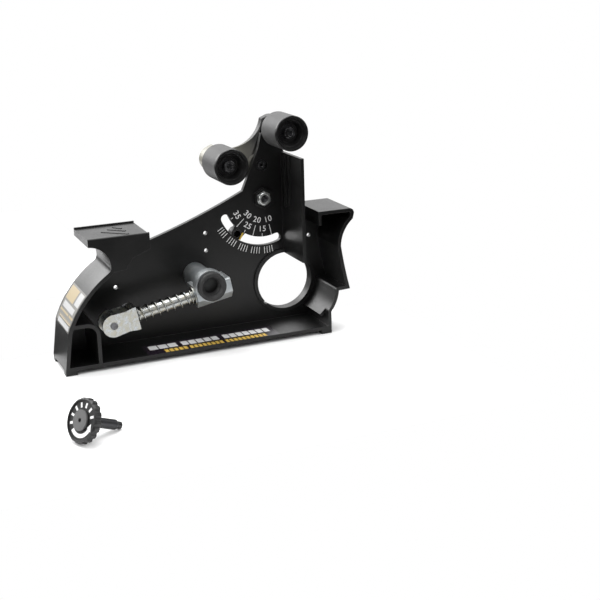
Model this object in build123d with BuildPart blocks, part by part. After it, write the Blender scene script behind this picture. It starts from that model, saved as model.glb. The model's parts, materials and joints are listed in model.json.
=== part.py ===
from build123d import *
import math
import os

os.makedirs("parts", exist_ok=True)

# Belt sharpening attachment that works as a honing guide for knives: an open moulded tray
# with two knife rests, a tilting head with two belt rollers, an angle lever with a scale,
# a spring tensioner, and a loose clamp knob. Millimetres.
# Frame: origin at the centre of the drive opening, on the front face of the web.
# +X runs along the base to the right, +Y from the front to the back, +Z up.
# A place written (x, z) is in the plane of the web. y is negative in front of the web.

# ---- driving dimensions ------------------------------------------------------------------
# tray
tray_depth = 36.0
web_t = 3.5
wall = 2.5
base_left_x = -175.2
base_right_x = 22.0
base_z = -31.5
foot_h = 3.0
foot_l = 8.0
foot_w = 6.0

# left rest, with the round notch below it
rest_left_x = -153.5
rest_right_x = -111.3
rest_z = 56.5
rest_lip = 1.2
lip_round = 1.0
neck_r = 15.0
neck_blend_r = 5.0
neck_centre = (-154.0, 37.2)
neck_low_angle = -11.0
neck_mid_angle = 40.0
flank_foot = (-171.2, -4.4)
flank_bulge = (-158.6, 17.3)
cheek_t = 2.0
pocket_right_x = -149.7
pocket_z = 0.1
pocket_r = 9.0
cheek_step_x = -128.8
cheek_step_z = 34.3
cheek_rise_x = -123.8
cheek_rise_z = 41.5
cheek_right_z = 46.5

# ramp and tower
ramp_foot_z = 40.3
ramp_top = (-30.2, 70.7)
ramp_sag = (-71.0, 53.5)
tower_knee = (-16.9, 100.8)
tower_left_x = -14.4
tower_cap_r = 23.0
tower_cap_mid_angle = 76.0
tower_cap_end_angle = 62.0
flange_x = 0.3
flange_top_z = 96.6
rib_w = 1.2
rib_at = (-7.9, -16.2)

# right rest
shelf_left_x = 13.4
shelf_z = 57.4
shelf_nose = (41.2, 53.6)
shelf_nose_r = 3.6
waist = (30.5, 30.3)
waist_upper = (33.9, 42.3)
waist_start = (40.2, 49.6)
waist_lower = (32.7, 17.6)
toe = (37.3, -2.6)
skirt_drop = 10.0
skirt_t = 2.0

# drive opening, its collar and the belt guard below it
drive_r = 21.5
collar_wall = 2.7
collar_front = 1.5
collar_back = 3.0
key_w = 3.0
key_depth = 1.2
key_angles = (48.0, -137.0)
guard_r = 26.0
guard_depth = 30.0
guard_start = -6.0
guard_end = -54.0
guard_bulge = -20.0

# screw and locating holes in the web
small_hole_r = 1.5
small_holes = [(-60.0, 43.2), (-60.0, 30.3), (-128.1, 12.2), (21.0, 32.0)]

# angle gearing: the lever carries a pinion, the head a toothed sector
lever_pivot = (-14.8, 64.0)
module = 1.0
pinion_teeth = 12
sector_teeth = 36
pressure_angle = 20.0
addendum = 0.75
dedendum = 1.05
tooth_play = 0.1
sector_tooth_count = 6
tooth_sink = 0.4

# arc slot and lever
slot_r = 32.0
slot_w = 6.4
slot_start = -157.5
slot_end = -72.0
lever_angle = -127.5
pointer_angle = -121.2
lever_t = 3.0
lever_hub_r = 9.0
tongue_w = 9.0
pinion_face = 4.0
insert_r = 3.4
insert_bore_r = 2.5
insert_len = 6.0
insert_floor = 1.0
pointer_w = 1.0
pointer_t = 1.0

# bolts, nuts and washers on the lever pivot
bolt_r = 3.0
bolt_head_r = 5.0
bolt_head_h = 4.0
bolt_socket_af = 5.0
bolt_socket = 2.0
nut_af = 10.0
nut_h = 2.4
nut_collar_r = 4.7
nut_collar_h = 2.2
nut_collar_round = 0.7
cup_wall = 1.7
cup_h = 3.2
washer_r = 6.0
washer_t = 1.0
thrust_gap = 0.15

# head
boss_r = 9.0
hub_r = 8.0
saddle_r = 24.5
head_t = 6.0
sector_t = 3.4
relief_r = 26.0
relief_depth = 4.5
relief_lean = 22.0
relief_at = (-34.0, 98.0)
pin_r = 3.0
pin_end_r = 2.5
pin_bore_r = 1.2
pin_head_r = 5.0
pin_head_h = 2.0
pin_recess_r = 4.5
pin_recess = 1.5
clip_r = 3.9
clip_t = 0.8

# rollers, each on two ball bearings
roller_lower = (-48.5, 94.4)
roller_upper = (-3.0, 113.7)
roller_r = 12.5
roller_w = 27.0
roller_back_y = -3.0
rim_t = 1.6
dish_depth = 7.5
dish_step = 3.2
dish_floor_r = 7.0
dish_step_r = 9.0
rim_round = 0.5
bearing_r = 5.5
bearing_w = 4.0
bearing_inset = 0.5
core_r = 4.2
axle_r = 2.5
axle_collar_r = 4.3
axle_screw_r = 4.2
axle_screw_h = 3.5
axle_screw_socket_af = 4.0
axle_screw_socket = 2.4
axle_thread_r = 1.5
axle_thread_l = 8.0
axle_tail_r = 4.0
axle_tail = 1.6

# tensioner
strut_y = -26.0
strut_slope = 10.5
strut_pin = (-139.2, -5.1)
post = (-69.7, 14.3)
barrel_r = 8.5
ring_r = 11.2
ring_w = 7.0
bush_r = 10.1
bush_bore_r = 6.2
bush_ridge_r = 5.4
bush_ridges = 3
bush_front_y = -40.0
bush_seat = 5.0
bush_floor = 1.0
guide_len = 26.0
guide_up = 8.0
guide_down = 8.0
guide_depth = 20.0
guide_bevel = 6.0
guide_corner_r = 1.5
rod_r = 4.0
rod_travel = 20.0
rod_screw_r = 5.5
rod_screw_h = 2.4
rod_screw_socket_af = 3.0
rod_screw_socket = 1.7
rod_thread_r = 2.0
rod_thread_l = 9.0
yoke_r = 8.0
yoke_w = 14.0
yoke_t = 2.0
yoke_l = 17.5
yoke_base_h = 16.5
yoke_waist = 9.6
yoke_waist_h = 14.4
yoke_pin_r = 2.6
yoke_pin_head = 0.5
spring_wire_r = 0.6
spring_turns = 10
seat_washer_r = 7.0
seat_washer_t = 0.8
block_screw_r = 2.5
block_screw_head_r = 5.0
block_screw_head_h = 2.6
block_screw_socket_af = 3.0
block_screw_socket = 1.6
block_screw_l = 13.0

# clamp knob, lying on its rim and the tip of its stud
knob_r = 13.5
knob_t = 4.4
knob_bevel = 1.0
knob_flutes = 18
flute_r = 1.5
flute_out = 0.7
knob_face_recess = 0.8
knob_face_r = 11.8
cap_r = 6.2
cap_h = 1.6
cap_hole_r = 1.3
knob_neck_r = 5.0
knob_neck = 4.0
stud_r = 3.2
stud_l = 17.0
dog_r = 2.3
dog_l = 4.35
knob_heading = 21.9
knob_rim_at = (-189.0, -146.7)

# clearances
gap = 0.3
running = 0.05

# ---- places worked out from the sizes above ----------------------------------------------
front_y = -tray_depth
spring_coil_r = rod_r + gap + spring_wire_r
table_z = base_z - foot_h
pinion_pitch_r = module * pinion_teeth / 2
sector_pitch_r = module * sector_teeth / 2
head_pivot = (lever_pivot[0], lever_pivot[1] + pinion_pitch_r + sector_pitch_r)
lever_front_y = web_t + gap
lever_back_y = lever_front_y + lever_t
pinion_back_y = lever_back_y + pinion_face
head_front_y = lever_back_y + gap
head_back_y = head_front_y + head_t
roller_front_y = roller_back_y - roller_w


def facing_front(y):
    """Sketch plane at depth y, seen from the front: local x is +X and local y is +Z."""
    return Plane.XZ.offset(-y)


def polar(centre, radius, angle):
    """Point at a radius and an angle, in degrees, from a centre."""
    return (
        centre[0] + radius * math.cos(math.radians(angle)),
        centre[1] + radius * math.sin(math.radians(angle)),
    )


def save(piece, name):
    """Label one finished piece and write it as a STEP file."""
    piece.part.label = name
    export_step(piece.part, f"parts/{name}.step")


def involute_half_angle(radius, pitch_r):
    """Half the angle that a tooth fills at a radius, from the involute of its pitch circle."""
    alpha = math.radians(pressure_angle)
    base_r = pitch_r * math.cos(alpha)
    local = math.acos(min(1.0, base_r / radius))
    at_pitch = (math.pi * module / 2 - tooth_play) / (2 * pitch_r)
    turn = (math.tan(alpha) - alpha) - (math.tan(local) - local)
    return math.degrees(at_pitch + turn)


def tooth(centre, pitch_r, angle):
    """One gear tooth's face, with involute flanks and a flat tip."""
    base_r = pitch_r * math.cos(math.radians(pressure_angle))
    root_r = pitch_r - dedendum * module
    flank_r = max(root_r, base_r)
    tip_r = pitch_r + addendum * module
    radii = (flank_r, (flank_r + tip_r) / 2, tip_r)
    right = [polar(centre, r, angle - involute_half_angle(r, pitch_r)) for r in radii]
    left = [polar(centre, r, angle + involute_half_angle(r, pitch_r)) for r in radii]
    foot = involute_half_angle(flank_r, pitch_r)
    foot_r = root_r - tooth_sink
    with BuildSketch() as outline:
        with BuildLine():
            ThreePointArc(*right)
            Line(right[2], left[2])
            ThreePointArc(*left)
            Polyline(left[0], polar(centre, foot_r, angle + foot),
                     polar(centre, foot_r, angle - foot), right[0])
        make_face()
    return outline.sketch_local


# ---- tray ----------------------------------------------------------------------------------
tower_cap_left = (tower_left_x, head_pivot[1]
                  + math.sqrt(tower_cap_r**2 - (tower_left_x - head_pivot[0])**2))
flange_right_x = flange_x + wall
flank_top = polar(neck_centre, neck_r, neck_low_angle)
tower_cap_right = polar(head_pivot, tower_cap_r, tower_cap_end_angle)
guard_outer_r = guard_r + wall
guard_foot = (base_right_x, -math.sqrt(guard_outer_r**2 - base_right_x**2))

with BuildSketch(Plane.XZ) as web_outline:
    with BuildLine():
        Polyline((base_left_x, base_z), flank_foot)
        ThreePointArc(flank_foot, flank_bulge, flank_top)
        neck_high = (rest_left_x, neck_centre[1] + neck_r)
        ThreePointArc(flank_top, polar(neck_centre, neck_r, neck_mid_angle), neck_high)
        Polyline(neck_high, (rest_left_x, rest_z), (rest_right_x, rest_z), (rest_right_x, ramp_foot_z))
        ThreePointArc((rest_right_x, ramp_foot_z), ramp_sag, ramp_top)
        Polyline(ramp_top, tower_knee, tower_cap_left)
        ThreePointArc(tower_cap_left, polar(head_pivot, tower_cap_r, tower_cap_mid_angle), tower_cap_right)
        Polyline(tower_cap_right, (flange_right_x, flange_top_z),
                 (flange_right_x, shelf_z), (shelf_nose[0] - shelf_nose_r, shelf_z))
        TangentArc((shelf_nose[0] - shelf_nose_r, shelf_z), shelf_nose, tangent=(1, 0))
        Line(shelf_nose, waist_start)
        ThreePointArc(waist_start, waist_upper, waist)
        ThreePointArc(waist, waist_lower, toe)
        guard_top = polar((0, 0), guard_outer_r, guard_start)
        Line(toe, guard_top)
        ThreePointArc(guard_top, polar((0, 0), guard_outer_r, guard_bulge), guard_foot)
        Polyline(guard_foot, (base_right_x, base_z), (base_left_x, base_z))
    make_face()
    neck_corner = web_outline.vertices().sort_by_distance((*flank_top, 0))[0]
    fillet(neck_corner, radius=neck_blend_r)

with BuildSketch(Plane.XZ) as rim_outline:
    add(web_outline.sketch_local)
    offset(web_outline.sketch_local, amount=-wall, mode=Mode.SUBTRACT)
    # the ramp and the tower's left side and cap stay open
    with BuildLine():
        Polyline((rest_right_x, rest_z + 1), (rest_right_x, cheek_right_z),
                 (rest_right_x - 2 * wall, cheek_right_z),
                 (rest_right_x - 2 * wall, ramp_foot_z - 2 * wall),
                 (ramp_top[0] + 2 * wall, ramp_top[1] - 2 * wall),
                 (flange_x, tower_knee[1] - 2 * wall), (flange_x, flange_top_z),
                 (flange_right_x + wall, flange_top_z),
                 (flange_right_x + wall, head_pivot[1] + 2 * tower_cap_r),
                 (rest_right_x, head_pivot[1] + 2 * tower_cap_r), (rest_right_x, rest_z + 1))
    make_face(mode=Mode.SUBTRACT)

with BuildPart() as housing:
    extrude(web_outline.sketch, amount=-web_t)
    extrude(rim_outline.sketch, amount=tray_depth)
    # flange down the right side of the tower, with two upright ribs on its left face
    with BuildSketch(Plane.XZ):
        with Locations((flange_x + wall / 2, (flange_top_z + drive_r) / 2)):
            Rectangle(wall, flange_top_z - drive_r)
    extrude(amount=tray_depth)
    with BuildSketch(Plane.XY.offset(shelf_z)):
        with Locations(*[(flange_x, y) for y in rib_at]):
            Rectangle(2 * rib_w, rib_w)
    extrude(amount=flange_top_z - shelf_z - rib_w)
    # skirt at the inner end of the right rest
    with BuildSketch(Plane.XZ):
        with Locations((shelf_left_x + skirt_t / 2, shelf_z - skirt_drop / 2)):
            Rectangle(skirt_t, skirt_drop)
    extrude(amount=tray_depth)
    # the right rest starts at its skirt, so the space beside the tower is open above
    with BuildSketch(Plane.XZ):
        with Locations(((flange_right_x + shelf_left_x) / 2, shelf_z)):
            Rectangle(shelf_left_x - flange_right_x, 2 * wall)
    extrude(amount=tray_depth, mode=Mode.SUBTRACT)
    # cheek that closes the front of the left rest
    with BuildSketch(facing_front(front_y + cheek_t)):
        with BuildLine():
            Polyline((rest_left_x, rest_z), (rest_right_x, rest_z),
                     (rest_right_x, cheek_right_z), (cheek_rise_x, cheek_rise_z),
                     (cheek_step_x, cheek_step_z), (flank_top[0], flank_top[1] - wall / 2),
                     (flank_top[0], flank_top[1] + wall), (rest_left_x, neck_high[1]),
                     (rest_left_x, rest_z))
        make_face()
        add(web_outline.sketch_local, mode=Mode.INTERSECT)
    extrude(amount=cheek_t)
    # raised lips along the front and the back of the left rest
    with BuildSketch(Plane.XY.offset(rest_z)):
        rest_mid_x = (rest_left_x + rest_right_x) / 2
        with Locations((rest_mid_x, front_y + wall / 4), (rest_mid_x, web_t - wall / 4)):
            Rectangle(rest_right_x - rest_left_x, wall / 2)
    extrude(amount=rest_lip)
    lip_edges = housing.edges().filter_by(Axis.X).filter_by_position(Axis.Z, rest_z + rest_lip, rest_z + rest_lip)
    fillet(lip_edges.sort_by(Axis.Y)[0], radius=lip_round)
    # pocket in the lower left corner, open to the front
    with BuildSketch(Plane.XZ) as pocket:
        pocket_w = pocket_right_x - base_left_x
        pocket_h = pocket_z - base_z
        with Locations((base_left_x + pocket_w / 2, base_z + pocket_h / 2)):
            Rectangle(pocket_w, pocket_h)
        fillet(pocket.vertices().group_by(Axis.Y)[-1].sort_by(Axis.X)[-1], radius=pocket_r)
        offset(amount=-wall, mode=Mode.SUBTRACT)
        with BuildLine():
            Polyline((base_left_x, base_z), flank_foot, (flank_foot[0] + wall, pocket_z + wall),
                     (base_left_x - wall, pocket_z + wall), (base_left_x - wall, base_z),
                     (base_left_x, base_z))
        make_face(mode=Mode.SUBTRACT)
    extrude(amount=tray_depth)
    # belt guard, a curved wall round the lower right of the drive opening
    with BuildSketch(Plane.XZ):
        with BuildLine():
            guard_points = [polar((0, 0), r, a) for r in (guard_r, guard_outer_r)
                            for a in (guard_start, (guard_start + guard_end) / 2, guard_end)]
            ThreePointArc(*guard_points[:3])
            Line(guard_points[2], guard_points[5])
            ThreePointArc(*guard_points[3:])
            Line(guard_points[0], guard_points[3])
        make_face()
    extrude(amount=guard_depth)
    # collar round the drive opening, proud of the web on both faces
    with BuildSketch(facing_front(web_t + collar_back)):
        Circle(drive_r + collar_wall)
    extrude(amount=web_t + collar_back + collar_front)
    # cup that holds the lever pivot's nut
    with BuildSketch(Plane.XZ):
        with Locations(lever_pivot):
            RegularPolygon((nut_af + gap) / 2 + cup_wall, 6, major_radius=False, rotation=30)
    extrude(amount=cup_h)
    with BuildSketch(facing_front(-cup_h)):
        with Locations(lever_pivot):
            RegularPolygon((nut_af + gap) / 2, 6, major_radius=False, rotation=30)
    extrude(amount=-cup_h, mode=Mode.SUBTRACT)
    # feet under the corners of the base
    with BuildSketch(Plane.XY.offset(base_z)):
        foot_y = (front_y + foot_w / 2, web_t - foot_w / 2)
        foot_x = (base_left_x + foot_l / 2, base_right_x - foot_l / 2)
        with Locations(*[(x, y) for x in foot_x for y in foot_y]):
            Rectangle(foot_l, foot_w)
    extrude(amount=-foot_h)
    # openings through the web: drive, pivots, arc slot, small holes and the tensioner's screw
    with BuildSketch(facing_front(-collar_front)):
        Circle(drive_r)
        for key_angle in key_angles:
            with Locations(Location((*polar((0, 0), drive_r, key_angle), 0), key_angle)):
                Rectangle(2 * key_depth, key_w)
        with BuildLine() as slot_path:
            CenterArc(lever_pivot, slot_r, slot_start, slot_end - slot_start)
        SlotArc(slot_path.edges()[0], height=slot_w)
        with Locations(lever_pivot, head_pivot):
            Circle(bolt_r + running)
        with Locations(*small_holes):
            Circle(small_hole_r)
        with Locations(post):
            Circle(block_screw_r + running)
    extrude(amount=-(collar_front + web_t + collar_back), mode=Mode.SUBTRACT)
    with BuildSketch(Plane.XZ):
        with Locations(head_pivot):
            Circle(pin_recess_r)
    extrude(amount=-pin_recess, mode=Mode.SUBTRACT)
save(housing, "housing")


# ---- angle lever ---------------------------------------------------------------------------
with BuildPart() as angle_lever:
    with BuildSketch(facing_front(lever_back_y)):
        insert_at = polar(lever_pivot, slot_r, lever_angle)
        with Locations(lever_pivot):
            Circle(lever_hub_r)
        with Locations(insert_at):
            Circle(tongue_w / 2)
        make_hull()
    extrude(amount=lever_t)
    with BuildSketch(facing_front(pinion_back_y)):
        with Locations(lever_pivot):
            Circle(pinion_pitch_r - dedendum * module)
        for i in range(pinion_teeth):
            add(tooth(lever_pivot, pinion_pitch_r, 90 + i * 360 / pinion_teeth))
    extrude(amount=pinion_face)
    # boss behind the tongue that holds the threaded insert
    with BuildSketch(facing_front(lever_front_y + insert_len + insert_floor)):
        with Locations(insert_at):
            Circle(tongue_w / 2)
    extrude(amount=insert_len + insert_floor)
    with BuildSketch(facing_front(lever_front_y)):
        with Locations(lever_pivot):
            Circle(bolt_r + running)
    extrude(amount=-(lever_t + pinion_face), mode=Mode.SUBTRACT)
    with BuildSketch(facing_front(lever_front_y)):
        with Locations(insert_at):
            Circle(insert_r)
    extrude(amount=-insert_len, mode=Mode.SUBTRACT)
save(angle_lever, "angle_lever")

with BuildPart() as lock_insert:
    with BuildSketch(facing_front(lever_front_y + insert_len)):
        with Locations(insert_at):
            Circle(insert_r)
            Circle(insert_bore_r, mode=Mode.SUBTRACT)
    extrude(amount=insert_len)
save(lock_insert, "lock_insert")

with BuildPart() as angle_pointer:
    with BuildSketch(facing_front(lever_front_y)):
        pointer_at = polar(lever_pivot, slot_r, pointer_angle)
        with Locations(Location((*pointer_at, 0), pointer_angle)):
            Rectangle(slot_w - 2 * gap, pointer_w)
    extrude(amount=pointer_t)
save(angle_pointer, "angle_pointer")

with BuildPart() as lever_bolt:
    washer_back_y = pinion_back_y + thrust_gap + washer_t
    with BuildSketch(facing_front(washer_back_y + bolt_head_h)):
        with Locations(lever_pivot):
            Circle(bolt_head_r)
    extrude(amount=bolt_head_h)
    with BuildSketch(facing_front(washer_back_y)):
        with Locations(lever_pivot):
            Circle(bolt_r)
    extrude(amount=washer_back_y + nut_h)
    with BuildSketch(facing_front(washer_back_y + bolt_head_h)):
        with Locations(lever_pivot):
            RegularPolygon(bolt_socket_af / 2, 6, major_radius=False)
    extrude(amount=bolt_socket, mode=Mode.SUBTRACT)
save(lever_bolt, "lever_bolt")

with BuildPart() as lever_washer:
    with BuildSketch(facing_front(washer_back_y)):
        with Locations(lever_pivot):
            Circle(washer_r)
            Circle(bolt_r, mode=Mode.SUBTRACT)
    extrude(amount=washer_t)
save(lever_washer, "lever_washer")

with BuildPart() as lever_nut:
    with BuildSketch(Plane.XZ):
        with Locations(lever_pivot):
            RegularPolygon(nut_af / 2, 6, major_radius=False, rotation=30)
    extrude(amount=nut_h)
    with BuildSketch(facing_front(-nut_h)):
        with Locations(lever_pivot):
            Circle(nut_collar_r)
    extrude(amount=nut_collar_h)
    fillet(lever_nut.edges().group_by(Axis.Y)[0].sort_by(SortBy.RADIUS)[-1:], radius=nut_collar_round)
    with BuildSketch(Plane.XZ):
        with Locations(lever_pivot):
            Circle(bolt_r)
    extrude(amount=nut_h + nut_collar_h, mode=Mode.SUBTRACT)
save(lever_nut, "lever_nut")

# ---- head ----------------------------------------------------------------------------------
span = math.dist(roller_lower, roller_upper)
span_angle = math.degrees(math.atan2(roller_upper[1] - roller_lower[1],
                                     roller_upper[0] - roller_lower[0]))
span_mid = polar(roller_lower, span / 2, span_angle)
saddle_centre = polar(span_mid, math.sqrt((saddle_r + boss_r)**2 - (span / 2)**2), span_angle + 90)

with BuildPart() as head_bracket:
    with BuildSketch(facing_front(head_back_y)):
        with Locations(roller_lower, roller_upper):
            Circle(boss_r)
        with Locations(head_pivot):
            Circle(hub_r)
        make_hull()
        with Locations(saddle_centre):
            Circle(saddle_r, mode=Mode.SUBTRACT)
    extrude(amount=head_t)
    # relief in the front face, leaning with the tower's left side
    lean = math.radians(relief_lean)
    relief_y = head_front_y + relief_depth - relief_r
    relief_plane = Plane(origin=(relief_at[0], relief_y, relief_at[1]),
                         z_dir=(math.sin(lean), 0, math.cos(lean)))
    with BuildSketch(relief_plane):
        Circle(relief_r)
    extrude(amount=2 * boss_r + span / 2, both=True, mode=Mode.SUBTRACT)
    # bosses that carry the axles, and the hub on the head's own pivot
    with BuildSketch(facing_front(head_back_y)):
        with Locations(roller_lower):
            Circle(boss_r)
        with Locations(head_pivot):
            Circle(hub_r)
    extrude(amount=head_back_y - lever_front_y)
    with BuildSketch(facing_front(head_back_y)):
        with Locations(roller_upper):
            Circle(axle_collar_r)
    extrude(amount=head_back_y - lever_front_y)
    # toothed sector
    with BuildSketch(facing_front(head_front_y + sector_t)):
        sector_root_r = sector_pitch_r - dedendum * module
        sector_pitch = 360 / sector_teeth
        sector_half = sector_pitch * sector_tooth_count / 2
        with BuildLine():
            sector_ends = [polar(head_pivot, sector_root_r, -90 + a)
                           for a in (-sector_half, 0, sector_half)]
            ThreePointArc(*sector_ends)
            Line(sector_ends[2], head_pivot)
            Line(head_pivot, sector_ends[0])
        make_face()
        for i in range(sector_tooth_count):
            add(tooth(head_pivot, sector_pitch_r, -90 - sector_half + (i + 0.5) * sector_pitch))
    extrude(amount=sector_t)
    with BuildSketch(facing_front(head_back_y)):
        with Locations(head_pivot):
            Circle(pin_r + running)
        with Locations(roller_lower, roller_upper):
            Circle(axle_r)
    extrude(amount=head_back_y, mode=Mode.SUBTRACT)
save(head_bracket, "head_bracket")

with BuildPart() as head_pin:
    pin_back_y = head_back_y + gap
    with BuildSketch(facing_front(pin_back_y + pin_head_h)):
        with Locations(head_pivot):
            Circle(pin_head_r)
    extrude(amount=pin_head_h)
    with BuildSketch(facing_front(pin_back_y)):
        with Locations(head_pivot):
            Circle(pin_r)
    extrude(amount=pin_back_y - pin_recess)
    with BuildSketch(facing_front(pin_recess)):
        with Locations(head_pivot):
            Circle(pin_end_r)
    extrude(amount=pin_recess)
    with BuildSketch(Plane.XZ):
        with Locations(head_pivot):
            Circle(pin_bore_r)
    extrude(amount=-(pin_recess + web_t), mode=Mode.SUBTRACT)
save(head_pin, "head_pin")

with BuildPart() as head_pin_clip:
    with BuildSketch(facing_front(pin_recess)):
        with Locations(head_pivot):
            Circle(clip_r)
            Circle(pin_end_r, mode=Mode.SUBTRACT)
    extrude(amount=clip_t)
save(head_pin_clip, "head_pin_clip")


# ---- rollers -------------------------------------------------------------------------------
def turned(centre, profile):
    """Solid turned from a profile of (radius, y) points, on the axis through a web place."""
    side = Plane(origin=(centre[0], 0, centre[1]), x_dir=(1, 0, 0), z_dir=(0, 0, 1))
    with BuildPart() as body:
        with BuildSketch(side):
            with BuildLine():
                Polyline(*profile, close=True)
            make_face()
        revolve(axis=Axis((centre[0], 0, centre[1]), (0, 1, 0)))
    return body.part


rear_bearing_back_y = roller_back_y - bearing_inset
rear_bearing_front_y = rear_bearing_back_y - bearing_w
dish_floor_y = roller_front_y + dish_depth
front_bearing_back_y = dish_floor_y + bearing_w
axle_screw_back_y = dish_floor_y - gap / 2

roller_profile = [
    (bearing_r, roller_back_y),
    (roller_r - rim_round, roller_back_y),
    (roller_r, roller_back_y - rim_round),
    (roller_r, roller_front_y + rim_round),
    (roller_r - rim_round, roller_front_y),
    (roller_r - rim_t, roller_front_y),
    (dish_step_r + rim_round, roller_front_y + dish_step),
    (dish_step_r, roller_front_y + dish_step),
    (dish_floor_r, dish_floor_y),
    (bearing_r, dish_floor_y),
    (bearing_r, front_bearing_back_y),
    (core_r, front_bearing_back_y),
    (core_r, rear_bearing_front_y),
    (bearing_r, rear_bearing_front_y),
]

for name, centre in (("lower", roller_lower), ("upper", roller_upper)):
    with BuildPart() as roller:
        add(turned(centre, roller_profile))
        # witness notch at the top of the front rim
        with BuildSketch(facing_front(roller_front_y)):
            with Locations((centre[0], centre[1] + roller_r - rim_t / 2)):
                Rectangle(2 * rim_t, rim_t / 2)
        extrude(amount=-rim_t, mode=Mode.SUBTRACT)
    save(roller, f"{name}_roller")

    with BuildPart() as bearings:
        for back_y in (rear_bearing_back_y, front_bearing_back_y):
            front = back_y - bearing_w
            inner = axle_r + running
            ring = [(inner, back_y), (bearing_r, back_y), (bearing_r, front), (inner, front)]
            add(turned(centre, ring))
    save(bearings, f"{name}_roller_bearings")

    with BuildPart() as axle:
        collar_front_y = rear_bearing_back_y + gap / 2
        collar_back_y = lever_front_y
        tail_y = head_back_y + axle_tail
        add(turned(centre, [
            (0, tail_y), (axle_tail_r, tail_y), (axle_tail_r, head_back_y), (axle_r, head_back_y),
            (axle_r, collar_back_y), (axle_collar_r, collar_back_y), (axle_collar_r, collar_front_y),
            (axle_r, collar_front_y), (axle_r, axle_screw_back_y),
            (axle_thread_r, axle_screw_back_y), (axle_thread_r, axle_screw_back_y + axle_thread_l),
            (0, axle_screw_back_y + axle_thread_l),
        ]))
    save(axle, f"{name}_roller_axle")

    with BuildPart() as axle_screw:
        screw_front_y = axle_screw_back_y - axle_screw_h
        add(turned(centre, [
            (0, axle_screw_back_y + axle_thread_l), (axle_thread_r, axle_screw_back_y + axle_thread_l),
            (axle_thread_r, axle_screw_back_y), (axle_screw_r, axle_screw_back_y),
            (axle_screw_r, screw_front_y + rim_round), (axle_screw_r - rim_round, screw_front_y),
            (0, screw_front_y),
        ]))
        with BuildSketch(facing_front(screw_front_y)):
            with Locations(centre):
                RegularPolygon(axle_screw_socket_af / 2, 6, major_radius=False)
        extrude(amount=-axle_screw_socket, mode=Mode.SUBTRACT)
    save(axle_screw, f"{name}_axle_screw")


# ---- tensioner -----------------------------------------------------------------------------
slope = math.radians(strut_slope)
strut_dir = (math.cos(slope), 0, math.sin(slope))


def across_strut(along):
    """Plane square to the strut, at a distance along it from the yoke's pin."""
    origin = (strut_pin[0] + along * strut_dir[0], strut_y, strut_pin[1] + along * strut_dir[2])
    return Plane(origin=origin, x_dir=(0, 1, 0), z_dir=strut_dir)


# the guide starts just left of the ring, so that the spring's washer sits flat on it
post_along = ((post[0] - strut_pin[0]) * math.cos(slope) + (post[1] - strut_pin[1]) * math.sin(slope))
guide_left = post_along - ring_r - gap / 2
guide_right = guide_left + guide_len
guide_mid = (guide_left + guide_right) / 2
rod_end = guide_right - rod_screw_h - gap
ring_back_y = front_y + ring_w
bush_back_y = front_y + bush_seat

with BuildPart() as tension_block:
    with BuildSketch(across_strut(guide_left)):
        with Locations((0, (guide_up - guide_down) / 2)):
            guide_section = Rectangle(guide_depth, guide_up + guide_down)
            front_corners = guide_section.vertices().group_by(Axis.Y)[0]
            back_corners = guide_section.vertices().group_by(Axis.Y)[-1]
        chamfer(front_corners, length=guide_bevel)
        fillet(back_corners, radius=guide_corner_r)
    extrude(amount=guide_len)
    with BuildSketch(Plane.XZ):
        with Locations(post):
            Circle(barrel_r)
    extrude(amount=tray_depth)
    with BuildSketch(facing_front(ring_back_y)):
        with Locations(post):
            Circle(ring_r)
    extrude(amount=ring_w)
    with BuildSketch(facing_front(front_y)):
        with Locations(post):
            Circle(bush_r)
    extrude(amount=-bush_seat, mode=Mode.SUBTRACT)
    with BuildSketch(across_strut(guide_mid)):
        Circle(rod_r + running)
    extrude(amount=guide_len, both=True, mode=Mode.SUBTRACT)
    with BuildSketch(across_strut(rod_end - gap)):
        Circle(rod_screw_r + gap)
    extrude(amount=guide_len, mode=Mode.SUBTRACT)
    with BuildSketch(facing_front(web_t)):
        with Locations(post):
            Circle(block_screw_r)
    extrude(amount=block_screw_l, mode=Mode.SUBTRACT)
save(tension_block, "tension_block")

with BuildPart() as block_bush:
    add(turned(post, [
        (0, bush_back_y), (bush_r, bush_back_y), (bush_r, bush_front_y + rim_round),
        (bush_r - rim_round, bush_front_y), (bush_bore_r + rim_t, bush_front_y),
        (bush_bore_r, bush_front_y + rim_t), (bush_bore_r, bush_back_y - bush_floor),
        (0, bush_back_y - bush_floor),
    ]))
    ridge_pitch = (bush_back_y - bush_floor - bush_front_y - rim_t) / (bush_ridges + 1)
    for i in range(bush_ridges):
        ridge_y = bush_back_y - bush_floor - (i + 0.5) * ridge_pitch
        add(turned(post, [
            (bush_bore_r, ridge_y), (bush_bore_r, ridge_y - ridge_pitch),
            (bush_ridge_r, ridge_y - ridge_pitch / 2),
        ]))
save(block_bush, "block_bush")

with BuildPart() as block_screw:
    head_back = web_t + block_screw_head_h
    screw_tip_y = web_t - block_screw_l
    add(turned(post, [
        (0, head_back), (block_screw_head_r - rim_round, head_back),
        (block_screw_head_r, head_back - rim_round), (block_screw_head_r, web_t),
        (block_screw_r, web_t), (block_screw_r, screw_tip_y), (0, screw_tip_y),
    ]))
    with BuildSketch(facing_front(web_t + block_screw_head_h)):
        with Locations(post):
            RegularPolygon(block_screw_socket_af / 2, 6, major_radius=False)
    extrude(amount=block_screw_socket, mode=Mode.SUBTRACT)
save(block_screw, "block_screw")

yoke_base = yoke_l - yoke_t
with BuildPart() as tension_rod:
    with BuildSketch(across_strut(yoke_l)):
        Circle(rod_r)
    extrude(amount=rod_end - yoke_l)
    with BuildSketch(across_strut(rod_end)):
        Circle(rod_thread_r)
    extrude(amount=-rod_thread_l, mode=Mode.SUBTRACT)
save(tension_rod, "tension_rod")

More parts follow.
